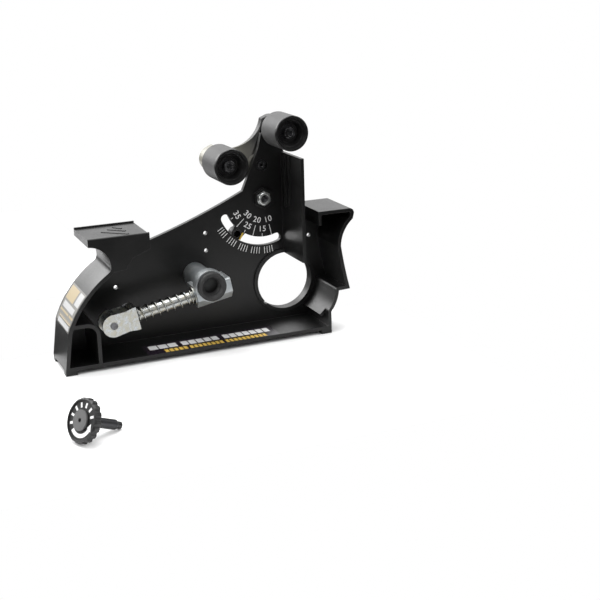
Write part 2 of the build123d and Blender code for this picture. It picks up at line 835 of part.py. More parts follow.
with BuildPart() as rod_screw:
    with BuildSketch(across_strut(rod_end)):
        Circle(rod_screw_r)
    extrude(amount=rod_screw_h)
    chamfer(rod_screw.edges().filter_by(GeomType.CIRCLE).sort_by(Axis.X)[-1:], length=rim_round)
    with BuildSketch(across_strut(rod_end)):
        Circle(rod_thread_r)
    extrude(amount=-rod_thread_l)
    with BuildSketch(across_strut(rod_end + rod_screw_h)):
        RegularPolygon(rod_screw_socket_af / 2, 6, major_radius=False)
    extrude(amount=-rod_screw_socket, mode=Mode.SUBTRACT)
save(rod_screw, "rod_screw")

with BuildPart() as yoke:
    # bent strap: two round-ended cheeks joined by a taller base
    cheek_plane = Plane(origin=across_strut(0).origin - Vector(0, yoke_w / 2, 0), x_dir=strut_dir,
                        z_dir=(0, -1, 0))
    with BuildSketch(cheek_plane):
        Circle(yoke_r)
        with BuildLine():
            Polyline((0, yoke_r), (yoke_waist, yoke_waist_h / 2), (yoke_base, yoke_base_h / 2),
                     (yoke_l, yoke_base_h / 2), (yoke_l, -yoke_base_h / 2),
                     (yoke_base, -yoke_base_h / 2), (yoke_waist, -yoke_waist_h / 2), (0, -yoke_r),
                     close=True)
        make_face()
    extrude(amount=-yoke_w)
    with BuildSketch(across_strut(-2 * yoke_r)):
        Rectangle(yoke_w - 2 * yoke_t, 3 * yoke_r)
    extrude(amount=2 * yoke_r + yoke_base, mode=Mode.SUBTRACT)
    with BuildSketch(cheek_plane):
        Circle(yoke_pin_r)
    extrude(amount=-yoke_w, mode=Mode.SUBTRACT)
save(yoke, "yoke")

with BuildPart() as yoke_pin:
    with BuildSketch(cheek_plane.offset(yoke_pin_head)):
        Circle(yoke_pin_r)
    extrude(amount=-(yoke_w + 2 * yoke_pin_head))
save(yoke_pin, "yoke_pin")

with BuildPart() as spring_washer:
    with BuildSketch(across_strut(guide_left - seat_washer_t)):
        Circle(seat_washer_r)
        Circle(rod_r + running, mode=Mode.SUBTRACT)
    extrude(amount=seat_washer_t)
save(spring_washer, "spring_washer")

spring_from = yoke_l + gap + spring_wire_r
spring_to = guide_left - seat_washer_t - gap - spring_wire_r
with BuildPart() as tension_spring:
    with BuildLine():
        coil = Helix(pitch=(spring_to - spring_from) / spring_turns, height=spring_to - spring_from,
                     radius=spring_coil_r, center=across_strut(spring_from).origin, direction=strut_dir)
    with BuildSketch(Plane(origin=coil @ 0, z_dir=coil % 0)):
        Circle(spring_wire_r)
    sweep(path=coil, is_frenet=True)
save(tension_spring, "tension_spring")

# ---- clamp knob ----------------------------------------------------------------------------
# It lies on the inner rim of its disc and the end of its stud, so its axis dips towards the tip.
knob_reach = knob_neck + stud_l + dog_l
knob_dip = math.atan((knob_r - dog_r) / knob_reach)
heading = math.radians(knob_heading)
knob_axis = Vector(math.cos(knob_dip) * math.cos(heading), math.cos(knob_dip) * math.sin(heading),
                   -math.sin(knob_dip))
knob_mid = Vector(knob_rim_at[0], knob_rim_at[1],
                  table_z + knob_r * math.cos(knob_dip) + knob_t / 2 * math.sin(knob_dip))
knob_face = Plane(origin=knob_mid - knob_axis * (knob_t / 2), z_dir=knob_axis)

with BuildPart() as knob_grip:
    with BuildSketch(knob_face):
        Circle(knob_r)
    extrude(amount=knob_t)
    rims = knob_grip.edges().filter_by(GeomType.CIRCLE)
    chamfer(rims.sort_by_distance(knob_face.origin)[0], length=knob_bevel)
    with BuildSketch(knob_face):
        with PolarLocations(knob_r + flute_out, knob_flutes):
            Circle(flute_r)
    extrude(amount=knob_t, mode=Mode.SUBTRACT)
    with BuildSketch(knob_face):
        Circle(knob_face_r)
    extrude(amount=knob_face_recess, mode=Mode.SUBTRACT)
    with BuildSketch(knob_face.offset(knob_t)):
        Circle(knob_neck_r)
    extrude(amount=knob_neck)
    with BuildSketch(knob_face.offset(knob_face_recess)):
        Circle(stud_r)
    extrude(amount=knob_t + knob_neck, mode=Mode.SUBTRACT)
save(knob_grip, "knob_grip")

with BuildPart() as knob_cap:
    with BuildSketch(knob_face.offset(knob_face_recess)):
        Circle(cap_r)
        Circle(cap_hole_r, mode=Mode.SUBTRACT)
    extrude(amount=-cap_h)
    chamfer(knob_cap.edges().sort_by(SortBy.LENGTH)[-2:-1], length=rim_round)
save(knob_cap, "knob_cap")

with BuildPart() as knob_stud:
    with BuildSketch(knob_face.offset(knob_face_recess)):
        Circle(stud_r)
    extrude(amount=knob_t - knob_face_recess + knob_neck + stud_l)
    with BuildSketch(knob_face.offset(knob_t + knob_neck + stud_l)):
        Circle(dog_r)
    extrude(amount=dog_l)
save(knob_stud, "knob_stud")
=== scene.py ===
import json
import math

import bmesh
import bpy
from mathutils import Matrix, Vector
from mathutils.bvhtree import BVHTree


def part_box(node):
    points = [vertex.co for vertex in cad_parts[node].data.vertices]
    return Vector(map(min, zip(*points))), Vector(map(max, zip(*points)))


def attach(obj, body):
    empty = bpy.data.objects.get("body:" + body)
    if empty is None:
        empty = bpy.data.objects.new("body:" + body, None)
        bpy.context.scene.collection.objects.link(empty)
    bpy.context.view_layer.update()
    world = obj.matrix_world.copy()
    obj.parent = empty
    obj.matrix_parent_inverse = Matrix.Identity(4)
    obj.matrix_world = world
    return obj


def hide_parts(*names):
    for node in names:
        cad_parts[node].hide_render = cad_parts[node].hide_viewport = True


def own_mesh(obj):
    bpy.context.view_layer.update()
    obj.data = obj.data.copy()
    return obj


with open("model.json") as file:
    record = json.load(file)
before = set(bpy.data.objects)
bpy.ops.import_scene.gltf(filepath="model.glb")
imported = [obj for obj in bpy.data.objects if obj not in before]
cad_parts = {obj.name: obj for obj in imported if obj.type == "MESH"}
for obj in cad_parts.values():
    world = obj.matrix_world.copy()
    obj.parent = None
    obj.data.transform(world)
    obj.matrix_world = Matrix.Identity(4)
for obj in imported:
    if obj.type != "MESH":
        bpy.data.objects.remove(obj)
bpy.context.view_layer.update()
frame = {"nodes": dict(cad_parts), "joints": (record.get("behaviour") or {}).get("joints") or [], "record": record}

# Looks for the belt sharpening attachment: materials for every CAD node, the printed scale, plain
# labels, grip ribs, the knob's printed face and the tensioner's coil spring. Lengths are in metres.

MM = 0.001

joints = {joint["name"]: joint for joint in frame["joints"]}
mounts = {mount["name"]: mount for mount in frame["record"]["mounts"]}
LEVER_PIVOT = Vector(joints["lever_swing"]["pos_m"])
ROLLER_AT = Vector(joints["lower_roller_spin"]["pos_m"])
TABLE_Z = mounts["foot_face"]["pos_m"][2]


# ---- camera, floor and light ---------------------------------------------------------------
CAMERA_AT = Vector((-0.3160, -0.7631, 0.2391))
CAMERA_TARGET = Vector((0.0052, -0.0172, -0.0120))
CAMERA_ROLL = math.radians(-1.49)
CAMERA_LENS = 68.93
CAMERA_SENSOR = 36.0

SOFTBOXES = {
    # name: (place, aimed at, width, height, watts)
    "back_softbox": ((-0.90, 1.25, 0.75), (-0.05, 0.0, 0.0), 1.5, 0.8, 15.0),
    "top_softbox": ((-0.15, 0.10, 1.40), (-0.05, 0.0, 0.0), 1.0, 1.0, 14.0),
    "left_softbox": ((-1.25, -0.45, 0.70), (-0.05, 0.0, 0.03), 0.7, 0.7, 7.0),
    "front_softbox": ((0.80, -1.05, 0.90), (-0.05, 0.0, 0.03), 0.6, 0.6, 4.0),
}


def aim(obj, place, target, roll=0.0):
    """Stand obj at place, looking at target along its own -Z, with +Y up and a roll about its view."""
    turn = (Vector(target) - Vector(place)).to_track_quat("-Z", "Y").to_matrix().to_4x4()
    obj.matrix_world = Matrix.Translation(place) @ turn @ Matrix.Rotation(roll, 4, "Z")
    bpy.context.scene.collection.objects.link(obj)
    return obj


def make_camera():
    data = bpy.data.cameras.new("camera")
    data.lens = CAMERA_LENS
    data.sensor_width = CAMERA_SENSOR
    camera = bpy.data.objects.new("camera", data)
    bpy.context.scene.camera = aim(camera, CAMERA_AT, CAMERA_TARGET, CAMERA_ROLL)


def make_lights():
    for name, (place, target, width, height, watts) in SOFTBOXES.items():
        data = bpy.data.lights.new(name, "AREA")
        data.shape = "RECTANGLE"
        data.size = width
        data.size_y = height
        data.energy = watts
        light = aim(bpy.data.objects.new(name, data), place, target)
        light.visible_camera = False


BACKDROP = (1.0, 1.0, 1.0, 1.0)
ROOM_FLOOR = 0.06
ROOM_SKY = 0.9
ROOM_BACK = 1.5
# heights and depths of a direction, from -1 to 1, over which the room's light rises
SKY_RISE = (-0.05, 0.6)
GLOW_RISE = (0.0, 0.3)
GLOW_BACK = (-0.2, 0.9)


def make_world():
    """White backdrop to the eye. What it lights sees a room that is dark low down and in front."""
    world = bpy.data.worlds.new("studio")
    bpy.context.scene.world = world
    world.use_nodes = True
    tree = world.node_tree
    tree.nodes.clear()
    way = tree.nodes.new("ShaderNodeSeparateXYZ")
    tree.links.new(tree.nodes.new("ShaderNodeTexCoord").outputs["Generated"], way.inputs[0])

    def ramp(axis, start, end, low, high):
        made = tree.nodes.new("ShaderNodeMapRange")
        for name, value in (("From Min", start), ("From Max", end), ("To Min", low), ("To Max", high)):
            made.inputs[name].default_value = value
        tree.links.new(way.outputs[axis], made.inputs["Value"])
        return made.outputs[0]

    def combine(operation, first, second):
        made = tree.nodes.new("ShaderNodeMath")
        made.operation = operation
        tree.links.new(first, made.inputs[0])
        tree.links.new(second, made.inputs[1])
        return made.outputs[0]

    glow = combine("MULTIPLY", ramp("Z", *GLOW_RISE, 0.0, 1.0), ramp("Y", *GLOW_BACK, 0.0, ROOM_BACK))
    level = combine("ADD", ramp("Z", *SKY_RISE, ROOM_FLOOR, ROOM_SKY), glow)
    path = tree.nodes.new("ShaderNodeLightPath")
    seen = tree.nodes.new("ShaderNodeBackground")
    seen.inputs["Color"].default_value = BACKDROP
    fill = tree.nodes.new("ShaderNodeBackground")
    tree.links.new(level, fill.inputs["Strength"])
    fill.inputs["Color"].default_value = BACKDROP
    mix = tree.nodes.new("ShaderNodeMixShader")
    out = tree.nodes.new("ShaderNodeOutputWorld")
    tree.links.new(path.outputs["Is Camera Ray"], mix.inputs[0])
    tree.links.new(fill.outputs[0], mix.inputs[1])
    tree.links.new(seen.outputs[0], mix.inputs[2])
    tree.links.new(mix.outputs[0], out.inputs["Surface"])
    bpy.context.scene.view_settings.view_transform = "Standard"


# ---- material building blocks --------------------------------------------------------------
class Finish:
    """A material's node tree, with a short call for each kind of node that the finishes use."""

    def __init__(self, name):
        self.material = bpy.data.materials.new(name)
        self.material.use_nodes = True
        self.tree = self.material.node_tree
        self.shader = self.tree.nodes["Principled BSDF"]
        self.place = self.tree.nodes.new("ShaderNodeTexCoord").outputs["Object"]

    def node(self, kind, **settings):
        made = self.tree.nodes.new("ShaderNode" + kind)
        for key, value in settings.items():
            setattr(made, key, value)
        return made

    def feed(self, socket, value):
        """Link another node's output to a socket, or set the socket's own value."""
        if isinstance(value, bpy.types.NodeSocket):
            self.tree.links.new(value, socket)
        else:
            socket.default_value = value

    def set(self, **values):
        """Set or link the shader's sockets; an underscore stands for a space in a socket's name."""
        for key, value in values.items():
            self.feed(self.shader.inputs[key.replace("_", " ")], value)
        return self

    def math(self, operation, first, second=0.0):
        made = self.node("Math", operation=operation)
        self.feed(made.inputs[0], first)
        self.feed(made.inputs[1], second)
        return made.outputs[0]

    def stretched(self, scale):
        """The object's own coordinates, scaled along each axis."""
        made = self.node("Mapping")
        made.inputs["Scale"].default_value = scale
        self.feed(made.inputs["Vector"], self.place)
        return made.outputs[0]

    def noise(self, grain, detail=3.0, place=None):
        """Noise from 0 to 1 whose patches are about a grain across."""
        made = self.node("TexNoise")
        made.inputs["Scale"].default_value = 1.0 / grain
        made.inputs["Detail"].default_value = detail
        self.feed(made.inputs["Vector"], place or self.place)
        return made.outputs["Fac"]

    def spread(self, value, low, high, start=0.3, end=0.7):
        """A value between start and end, spread from low to high."""
        made = self.node("MapRange")
        made.inputs["From Min"].default_value = start
        made.inputs["From Max"].default_value = end
        made.inputs["To Min"].default_value = low
        made.inputs["To Max"].default_value = high
        self.feed(made.inputs["Value"], value)
        return made.outputs[0]

    def mix(self, share, first, second):
        """The first colour where share is 0, and the second where it is 1."""
        made = self.node("Mix", data_type="RGBA")
        self.feed(made.inputs[0], share)
        self.feed(made.inputs[6], first)
        self.feed(made.inputs[7], second)
        return made.outputs[2]

    def pale_edge_share(self, radius):
        """Close to 1 along sharp outer edges within a radius, and 0 elsewhere."""
        soft = self.node("Bevel", samples=4)
        soft.inputs["Radius"].default_value = radius
        plain = self.node("NewGeometry")
        dot = self.node("VectorMath", operation="DOT_PRODUCT")
        self.feed(dot.inputs[0], soft.outputs[0])
        self.feed(dot.inputs[1], plain.outputs["Normal"])
        return self.spread(dot.outputs["Value"], 1.0, 0.0, 0.80, 0.99)

    def relief(self, height, depth, edge_radius=0.0):
        """Bump from a height between 0 and 1, over edges softened by a radius."""
        made = self.node("Bump")
        made.inputs["Distance"].default_value = depth
        self.feed(made.inputs["Height"], height)
        if edge_radius:
            soft = self.node("Bevel", samples=4)
            soft.inputs["Radius"].default_value = edge_radius
            self.feed(made.inputs["Normal"], soft.outputs[0])
        self.feed(self.shader.inputs["Normal"], made.outputs[0])
        return self

    def distance_from_axis(self, centre):
        """Distance from a line along Y through a place."""
        away = self.node("VectorMath", operation="SUBTRACT")
        self.feed(away.inputs[0], self.place)
        away.inputs[1].default_value = centre
        flat = self.node("VectorMath", operation="MULTIPLY")
        self.feed(flat.inputs[0], away.outputs[0])
        flat.inputs[1].default_value = (1, 0, 1)
        length = self.node("VectorMath", operation="LENGTH")
        self.feed(length.inputs[0], flat.outputs[0])
        return length.outputs["Value"]

    def depth(self):
        """The place's own Y."""
        made = self.node("SeparateXYZ")
        self.feed(made.inputs[0], self.place)
        return made.outputs["Y"]


def grey(level):
    return (level, level, level, 1.0)


# ---- finishes ------------------------------------------------------------------------------
def moulded_plastic(name, dark=0.0040, light=0.0062, rough=0.36, grain=0.35 * MM, depth=0.010 * MM,
                    edge=0.35 * MM, specular=0.34):
    """Black moulding: fine texture, faint flow clouds, and edges a little paler."""
    finish = Finish(name)
    clouds = finish.noise(28 * MM, 4)
    body = finish.mix(finish.spread(clouds, 0, 1), grey(dark), grey(light))
    coloured = finish.mix(finish.math("MULTIPLY", finish.pale_edge_share(edge), 0.35), body, grey(0.09))
    specks = finish.noise(1.1 * MM, 2)
    roughness = finish.math("ADD", finish.spread(clouds, rough - 0.04, rough + 0.04),
                            finish.spread(specks, -0.03, 0.05))
    finish.set(Base_Color=coloured, Roughness=roughness)
    finish.shader.inputs["Specular IOR Level"].default_value = specular
    finish.relief(finish.noise(grain, 2), depth, edge)
    return finish.material


def ground_band(name, centre, radius, front_y, dark=0.030, light=0.052):
    """Roller: a grey ground band round a black moulding, with fine scores along the ground band."""
    finish = Finish(name)
    on_band = finish.math("GREATER_THAN", finish.distance_from_axis(centre), radius - 0.3 * MM)
    behind_rim = finish.math("GREATER_THAN", finish.depth(), front_y + 1.5 * MM)
    band = finish.math("MULTIPLY", on_band, behind_rim)
    scores = finish.noise(1.0 * MM, 4, finish.stretched((1, 7, 1)))
    blotches = finish.noise(6 * MM, 3)
    grey_band = finish.mix(finish.spread(scores, 0, 1), grey(dark), grey(light))
    grey_band = finish.mix(finish.spread(blotches, 0, 0.3), grey_band, grey(0.09))
    coloured = finish.mix(band, grey(0.007), grey_band)
    roughness = finish.math("ADD", finish.math("MULTIPLY", band, 0.24), finish.spread(blotches, 0.28, 0.36))
    finish.set(Base_Color=coloured, Roughness=roughness)
    height = finish.math("MULTIPLY", band, scores)
    finish.relief(height, 0.03 * MM, 0.2 * MM)
    return finish.material


def plated_steel(name, pale=(0.36, 0.39, 0.42, 1), warm=(0.40, 0.38, 0.31, 1), rough=0.26,
                 grain=3 * MM, depth=0.012 * MM, edge=0.2 * MM, stretch=(1, 1, 1)):
    """Zinc plated steel: cool and faintly yellow patches, with wandering gloss."""
    finish = Finish(name)
    patches = finish.noise(grain, 4, finish.stretched(stretch))
    fine = finish.noise(0.5 * MM, 3, finish.stretched(stretch))
    coloured = finish.mix(finish.spread(patches, 0, 1), pale, warm)
    scratched = finish.mix(finish.spread(fine, 0, 0.35, 0.52, 0.75), coloured, grey(0.30))
    roughness = finish.math("ADD", finish.spread(patches, rough - 0.06, rough + 0.10),
                            finish.spread(fine, -0.03, 0.06))
    finish.set(Base_Color=scratched, Roughness=roughness, Metallic=1.0)
    finish.relief(fine, depth, edge)
    return finish.material


def cast_zinc(name):
    """Die cast zinc: grey, a little coarse, with paler edges."""
    finish = Finish(name)
    skin = finish.noise(1.6 * MM, 5)
    patches = finish.noise(9 * MM, 3)
    coloured = finish.mix(finish.spread(patches, 0, 1), (0.33, 0.36, 0.38, 1), (0.50, 0.52, 0.52, 1))
    coloured = finish.mix(finish.math("MULTIPLY", finish.pale_edge_share(0.5 * MM), 0.5), coloured, grey(0.72))
    finish.set(Base_Color=coloured, Roughness=finish.spread(skin, 0.34, 0.52), Metallic=0.9)
    finish.relief(skin, 0.06 * MM, 0.4 * MM)
    return finish.material


def dark_steel(name, pale=(0.16, 0.16, 0.17, 1), rough=0.26):
    """Blackened steel that shows bright along its edges."""
    finish = Finish(name)
    stains = finish.noise(2.5 * MM, 4)
    coloured = finish.mix(finish.spread(stains, 0, 1), grey(0.06), pale)
    coloured = finish.mix(finish.math("MULTIPLY", finish.pale_edge_share(0.18 * MM), 0.8), coloured, grey(0.6))
    roughness = finish.spread(stains, rough - 0.05, rough + 0.12)
    finish.set(Base_Color=coloured, Roughness=roughness, Metallic=1.0)
    finish.relief(finish.noise(0.4 * MM, 2), 0.008 * MM, 0.15 * MM)
    return finish.material


def rubber(name):
    """Black rubber: matt, with a dusty bloom."""
    finish = Finish(name)
    bloom = finish.noise(4 * MM, 5)
    finish.set(Base_Color=finish.mix(finish.spread(bloom, 0, 1), grey(0.006), grey(0.016)),
               Roughness=finish.spread(bloom, 0.42, 0.62))
    finish.relief(finish.noise(0.3 * MM, 3), 0.02 * MM, 0.3 * MM)
    return finish.material


def casting_painted_reflection(name, painted_reflection_centre):
    """Cast bracket: black, with a painted reflection of warm grey about a place that fades to black away from it,
    and pale edges.
    """
    finish = Finish(name)
    clouds = finish.noise(14 * MM, 4)
    skin = finish.noise(0.7 * MM, 4)
    # painted reflection: near and warm give warm grey within 14 mm of the place, fading to the bracket's own black
    # (grey 0.018) by 34 mm
    near = finish.spread(finish.distance_from_axis(painted_reflection_centre), 1.0, 0.0, 14 * MM, 34 * MM)
    warm = finish.mix(finish.spread(clouds, 0, 1), (0.20, 0.195, 0.165, 1), (0.30, 0.29, 0.25, 1))
    coloured = finish.mix(near, grey(0.018), warm)
    coloured = finish.mix(finish.math("MULTIPLY", finish.pale_edge_share(0.4 * MM), 0.3), coloured, grey(0.34))
    finish.set(Base_Color=coloured, Roughness=finish.spread(skin, 0.34, 0.46), Metallic=0.3)
    finish.relief(skin, 0.012 * MM, 0.4 * MM)
    return finish.material


def coloured_plastic(name, deep, pale, rough=0.4):
    finish = Finish(name)
    clouds = finish.noise(2 * MM, 3)
    finish.set(Base_Color=finish.mix(finish.spread(clouds, 0, 1), deep, pale),
               Roughness=finish.spread(clouds, rough - 0.05, rough + 0.08))
    finish.relief(finish.noise(0.25 * MM, 2), 0.008 * MM, 0.15 * MM)
    return finish.material


def print_ink(name, deep, pale):
    """Printed ink: thin spots and a slightly uneven film."""
    finish = Finish(name)
    film = finish.noise(0.45 * MM, 4)
    finish.set(Base_Color=finish.mix(finish.spread(film, 0, 1), deep, pale),
               Roughness=finish.spread(film, 0.38, 0.55))
    finish.relief(film, 0.01 * MM)
    return finish.material


def pale_floor(name):
    finish = Finish(name)
    finish.set(Base_Color=finish.mix(finish.spread(finish.noise(0.12, 3), 0, 1), grey(0.86), grey(0.88)),
               Roughness=0.6)
    finish.shader.inputs["Specular IOR Level"].default_value = 0.2
    return finish.material


# ---- mesh helpers --------------------------------------------------------------------------
def piece(name, form, material, body):
    """Turn a bmesh into an object that rides on a body and takes a finish slot."""
    mesh = bpy.data.meshes.new(name)
    bmesh.ops.recalc_face_normals(form, faces=form.faces)
    form.to_mesh(mesh)
    form.free()
    mesh.materials.append(material)
    obj = bpy.data.objects.new(name, mesh)
    bpy.context.scene.collection.objects.link(obj)
    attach(obj, body)
    return obj


def plate(form, outline, rise):
    """A thin plate: a flat outline of points, raised along a vector that it turns round."""
    low = [form.verts.new(point) for point in outline]
    high = [form.verts.new(Vector(point) + rise) for point in outline]
    form.faces.new(high)
    form.faces.new(low[::-1])
    for i, corner in enumerate(low):
        after = (i + 1) % len(low)
        form.faces.new((corner, low[after], high[after], high[i]))


def around(centre, radius, degrees, y):
    """A point at a radius and an angle from a centre, in the plane of the web."""
    turn = math.radians(degrees)
    return Vector((centre.x + radius * math.cos(turn), y, centre.z + radius * math.sin(turn)))


def bar(form, start, end, width, rise):
    """A straight printed bar from start to end, raised along a vector."""
    across = (end - start).cross(rise).normalized() * (width / 2)
    plate(form, [start + across, end + across, end - across, start - across], rise)


# ---- printed scale -------------------------------------------------------------------------
WEB_FRONT = mounts["web_holes"]["pos_m"][1]
INK = 0.04 * MM
FIRST_ANGLE = -78.0
ANGLE_STEP = -15.0
LABELS = ("10", "15", "20", "25", "30", "35")
INNER_START_R = 28.5 * MM
LONG_TICK_R = 20.5 * MM
SHORT_TICK_R = 26.5 * MM
OUTER_TICKS_R = (36.5 * MM, 41.5 * MM)
TICK_W = 0.45 * MM
FINE_TICKS = 4
LONG_LABEL_R = 16.6 * MM
SHORT_LABEL_R = 23.0 * MM
DIGIT_H = 4.3 * MM
FONT_SIZE_PER_DIGIT = 1.38
DIGIT_SPACING = 1.08
DIGIT_WEIGHT = 0.03 * MM


def scale_ticks(material):
    form = bmesh.new()
    rise = Vector((0, -INK, 0))
    y = WEB_FRONT
    for i, label in enumerate(LABELS):
        degrees = FIRST_ANGLE + i * ANGLE_STEP
        inner = LONG_TICK_R if label.endswith("0") else SHORT_TICK_R
        bar(form, around(LEVER_PIVOT, inner, degrees, y), around(LEVER_PIVOT, INNER_START_R, degrees, y),
            TICK_W, rise)
        if i == len(LABELS) - 1:
            break
        for k in range(1, FINE_TICKS + 1):
            fine = degrees + ANGLE_STEP * k / (FINE_TICKS + 1)
            bar(form, around(LEVER_PIVOT, OUTER_TICKS_R[0], fine, y),
                around(LEVER_PIVOT, OUTER_TICKS_R[1], fine, y), TICK_W, rise)
    piece("scale_ticks", form, material, "frame")


def scale_numbers(material):
    """The scale's numbers, each turned so that its top points at the lever's pivot."""
    form = bmesh.new()
    for i, label in enumerate(LABELS):
        degrees = FIRST_ANGLE + i * ANGLE_STEP
        radius = LONG_LABEL_R if label.endswith("0") else SHORT_LABEL_R
        text = bpy.data.curves.new("number", "FONT")
        text.body = label
        text.align_x = "CENTER"
        text.align_y = "CENTER"
        text.size = DIGIT_H * FONT_SIZE_PER_DIGIT
        text.offset = DIGIT_WEIGHT
        text.space_character = DIGIT_SPACING
        text.extrude = INK / 2
        source = bpy.data.objects.new("number", text)
        mesh = bpy.data.meshes.new_from_object(source)
        upright = Matrix.Rotation(math.radians(90), 4, "X")
        stand = upright @ Matrix.Rotation(math.radians(degrees + 90), 4, "Z")
        middle = around(LEVER_PIVOT, radius, degrees, WEB_FRONT - INK / 2)
        mesh.transform(Matrix.Translation(middle) @ stand)
        form.from_mesh(mesh)
        bpy.data.objects.remove(source)
        bpy.data.curves.remove(text)
        bpy.data.meshes.remove(mesh)
    piece("scale_numbers", form, material, "frame")


# ---- coil spring ---------------------------------------------------------------------------
SPRING_START = 17.8 * MM
SPRING_END = 59.4 * MM
COIL_R = 4.9 * MM
WIRE_R = 0.6 * MM
COIL_TURNS = 9
COIL_STEPS = 28
WIRE_STEPS = 10


def coil_spring(material):
    """Compression spring round the rod, with a closed turn at each end."""
    along = Vector(joints["tension_slide"]["axis"]).normalized()
    low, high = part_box("yoke_pin")
    spring_low, spring_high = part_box("tension_spring")
    pin = (low + high) / 2
    pin.y = (spring_low.y + spring_high.y) / 2
    side = Vector((0, 1, 0))
    up = along.cross(side)
    first = SPRING_START + WIRE_R
    last = SPRING_END - WIRE_R
    closed = 2 * WIRE_R
    form = bmesh.new()
    rings = []
    for i in range(COIL_TURNS * COIL_STEPS + 1):
        turn = i / COIL_STEPS
        if turn <= 1:
            reach = first + closed * turn
        elif turn >= COIL_TURNS - 1:
            reach = last - closed * (COIL_TURNS - turn)
        else:
            share = (turn - 1) / (COIL_TURNS - 2)
            reach = first + closed + (last - first - 2 * closed) * share
        out = side * math.cos(2 * math.pi * turn) + up * math.sin(2 * math.pi * turn)
        centre = pin + along * reach + out * COIL_R
        ring = []
        for k in range(WIRE_STEPS):
            spin = 2 * math.pi * k / WIRE_STEPS
            ring.append(form.verts.new(centre + (out * math.cos(spin) + along * math.sin(spin)) * WIRE_R))
        rings.append(ring)
    for ring, after in zip(rings, rings[1:]):
        for k in range(WIRE_STEPS):
            n = (k + 1) % WIRE_STEPS
            form.faces.new((ring[k], ring[n], after[n], after[k]))
    form.faces.new(rings[0][::-1])
    form.faces.new(rings[-1])
    for face in form.faces:
        face.smooth = len(face.verts) == 4
    spring = piece("coil_spring", form, material, "frame")
    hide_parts("tension_spring")
    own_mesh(spring)


# ---- labels, ribs and prints ---------------------------------------------------------------
FILM = 0.06 * MM
TRAY_FLOOR_Z = -29.0 * MM
LABEL_X = (-117.0 * MM, -19.0 * MM)
LABEL_Y = (-35.8 * MM, -15.0 * MM)
LETTER_GAP = 0.9
WHITE_WORDS = ((-113.5, -93.0, 3), (-89.5, -62.0, 5), (-58.0, -23.0, 7))
WHITE_WORDS_Y = (-26.4, -18.4)
GOLD_WORDS = ((-104.4, -88.0, 5), (-86.0, -61.4, 8), (-59.3, -28.6, 10))
GOLD_WORDS_Y = (-34.9, -29.3)


def rectangle(form, x, y, z, rise):
    """A flat plate on a level face, between two x and two y."""
    plate(form, [Vector((x[0], y[0], z)), Vector((x[1], y[0], z)), Vector((x[1], y[1], z)),
                 Vector((x[0], y[1], z))], Vector((0, 0, rise)))


def tray_label(film, white, gold):
    """Printed film on the tray's floor. Plain blocks stand for its two lines of lettering."""
    form = bmesh.new()
    rectangle(form, LABEL_X, LABEL_Y, TRAY_FLOOR_Z, FILM)
    piece("tray_label", form, film, "frame")
    for name, words, words_y, ink, slot in (
            ("tray_label_white", WHITE_WORDS, WHITE_WORDS_Y, white, "print_white"),
            ("tray_label_gold", GOLD_WORDS, GOLD_WORDS_Y, gold, "label_gold")):
        form = bmesh.new()
        for start, end, letters in words:
            pitch = (end - start + LETTER_GAP) / letters
            for k in range(letters):
                left = start + pitch * k
                rectangle(form, (left * MM, (left + pitch - LETTER_GAP) * MM),
                          (words_y[0] * MM, words_y[1] * MM), TRAY_FLOOR_Z + FILM, INK)
        piece(name, form, ink, "frame")


FLANK_FROM_X = -0.30
FLANK_SAMPLE_Y = -0.018
FLANK_STEPS = 12
FLANK_LABEL_Y = (-34.6, 1.6)
FLANK_LABEL_Z = (-5.0, 19.5)
FLANK_BLOCKS = {
    # ink: rectangles of (y from, y to, z from, z to) in millimetres
    "gold": ((-20, 0, 10.5, 18.5), (-34, -24, 3.2, 4.4), (-22, 0, 3.0, 4.2), (-34, -3, -0.2, 0.8)),
    "white": ((-33, -23, 11, 18.5), (-33, -3, -4.2, -1.2), (-30, -2, 5.6, 9.2)),
}


def flank_label(grey_film, white, gold):
    """Label round the tray's curved left flank, with its lettering and marks left as plain blocks."""
    housing = frame["nodes"]["housing"]
    skin = BVHTree.FromObject(housing, bpy.context.evaluated_depsgraph_get())
    inward = housing.matrix_world.inverted()

    def on_flank(y, z, lift):
        start = Vector((FLANK_FROM_X, FLANK_SAMPLE_Y, z * MM))
        hit, normal, _, _ = skin.ray_cast(inward @ start, inward.to_3x3() @ Vector((1, 0, 0)))
        place = housing.matrix_world @ hit
        facing = (housing.matrix_world.to_3x3() @ normal).normalized()
        if facing.x > 0:
            facing = -facing
        place += facing * lift
        place.y = y * MM
        return place

    def patch(form, y0, y1, z0, z1, low, high):
        """A curved plate between two heights above the flank."""
        rows = []
        for i in range(FLANK_STEPS + 1):
            z = z0 + (z1 - z0) * i / FLANK_STEPS
            rows.append([form.verts.new(on_flank(y, z, lift)) for y, lift in
                         ((y0, low), (y1, low), (y1, high), (y0, high))])
        for row, after in zip(rows, rows[1:]):
            for k in range(4):
                n = (k + 1) % 4
                form.faces.new((row[k], row[n], after[n], after[k]))
        form.faces.new(rows[0])
        form.faces.new(rows[-1][::-1])

    form = bmesh.new()
    patch(form, *FLANK_LABEL_Y, *FLANK_LABEL_Z, -FILM, FILM)
    piece("flank_label", form, grey_film, "frame")
    for ink_name, material, slot in (("gold", gold, "label_gold"), ("white", white, "print_white")):
        form = bmesh.new()
        for block in FLANK_BLOCKS[ink_name]:
            patch(form, *block, FILM, FILM + INK)
        piece(f"flank_label_{ink_name}", form, material, "frame")


REST_TOP_Z = mounts["left_rest_face"]["pos_m"][2]
RIB_H = 0.35 * MM
RIB_W = 1.9 * MM
REST_RIBS = (((-128.4, -4.5), (-123.8, -10.8)), ((-133.0, -9.2), (-123.2, -19.0)),
             ((-138.6, -14.6), (-123.6, -28.2)))


